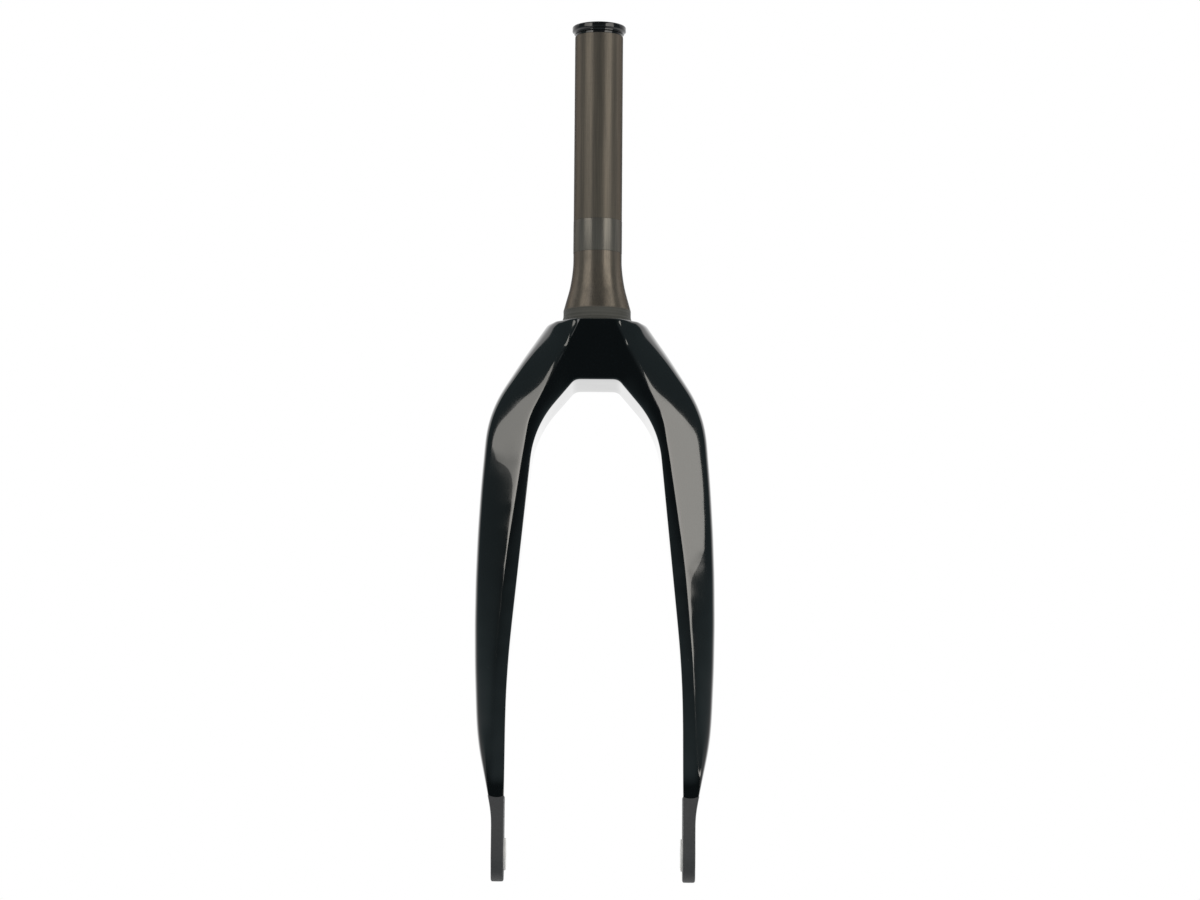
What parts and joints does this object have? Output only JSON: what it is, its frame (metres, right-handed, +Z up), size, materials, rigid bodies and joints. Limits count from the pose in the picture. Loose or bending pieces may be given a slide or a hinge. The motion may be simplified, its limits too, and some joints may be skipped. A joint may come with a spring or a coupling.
{
  "type": "bicycle fork",
  "caption": "Rigid bicycle fork with a tapered steerer, a faceted crown and arch, bowed bladed legs, closed dropouts with flanged bushes, and a top cap on an expander.",
  "frame": {"origin": "on the steerer axis, on the flat crown shoulder where the lower headset race sits", "axes": "+Z up the steerer axis, -Y to the front, where the axle sits by the rake, and +X to the rider's left, along the axle"},
  "size_m": [0.14, 0.0687, 0.5081],
  "materials": {
    "gloss_black": "clear-coated gloss black laminate, matt dark grey at the dropouts and bare matt laminate on the taper",
    "bare_laminate": "sanded bare laminate, matt",
    "collar_laminate": "bare laminate, a little smoother",
    "black_anodised": "black anodised, turned",
    "bare_alloy": "turned",
    "black_steel": "black oxide",
    "zinc_steel": "zinc plated"
  },
  "bodies": {
    "root": {"fork_body": "gloss_black", "steerer_tube": "bare_laminate", "splice_collar": "collar_laminate", "expander_sleeve": "black_anodised", "expander_wedge": "bare_alloy", "expander_bolt": "black_steel", "top_cap": "black_anodised", "cap_bolt": "zinc_steel", "axle_insert_left": "bare_alloy", "axle_insert_right": "bare_alloy"}
  },
  "joints": []
}
